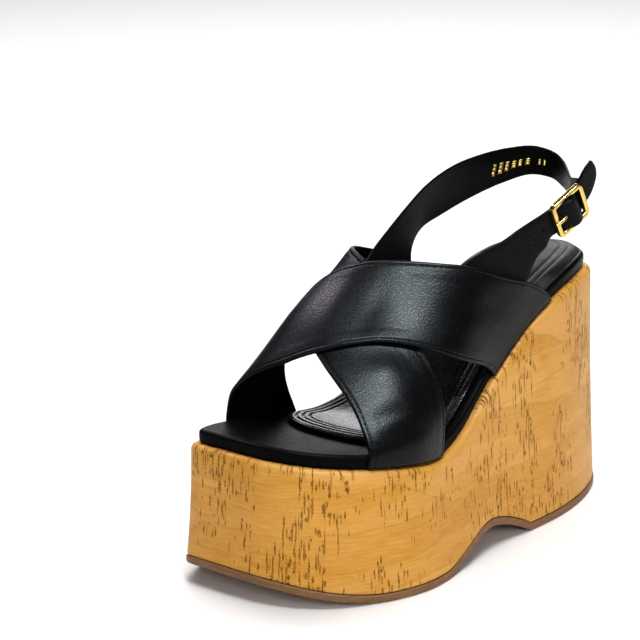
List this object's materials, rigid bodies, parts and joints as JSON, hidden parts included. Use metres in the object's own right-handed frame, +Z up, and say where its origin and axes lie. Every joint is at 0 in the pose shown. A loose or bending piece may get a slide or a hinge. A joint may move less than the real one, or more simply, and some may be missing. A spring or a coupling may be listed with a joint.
{
  "type": "platform sandal",
  "caption": "High platform wedge sandal with crossed instep bands and a buckled slingback strap, cork-covered wedge and thin rubber outsole, for the left foot.",
  "frame": {"origin": "middle of the whole sandal's bounding box, on the floor", "axes": "+Z up, -Y towards the toe, +X towards the outer (lateral) side of the left foot"},
  "size_m": [0.0984, 0.238, 0.163],
  "materials": {
    "outsole_rubber": "matt brown rubber",
    "cork": "natural cork sheet, satin",
    "insole_leather": "smooth satin black leather",
    "sock_leather": "smooth satin black leather, padded",
    "upper_leather": "fine-grained black leather, slightly pearly",
    "strap_leather": "fine-grained black leather, folded edges",
    "gold_metal": "polished gold-coloured plating"
  },
  "bodies": {
    "root": {"outsole": "outsole_rubber", "platform_wedge": "cork", "insole": "insole_leather", "sock_pad": "sock_leather", "upper": "upper_leather", "sling_strap": "strap_leather", "tongue_strap": "strap_leather", "buckle_frame": "gold_metal", "buckle_prong": "gold_metal"}
  },
  "joints": []
}
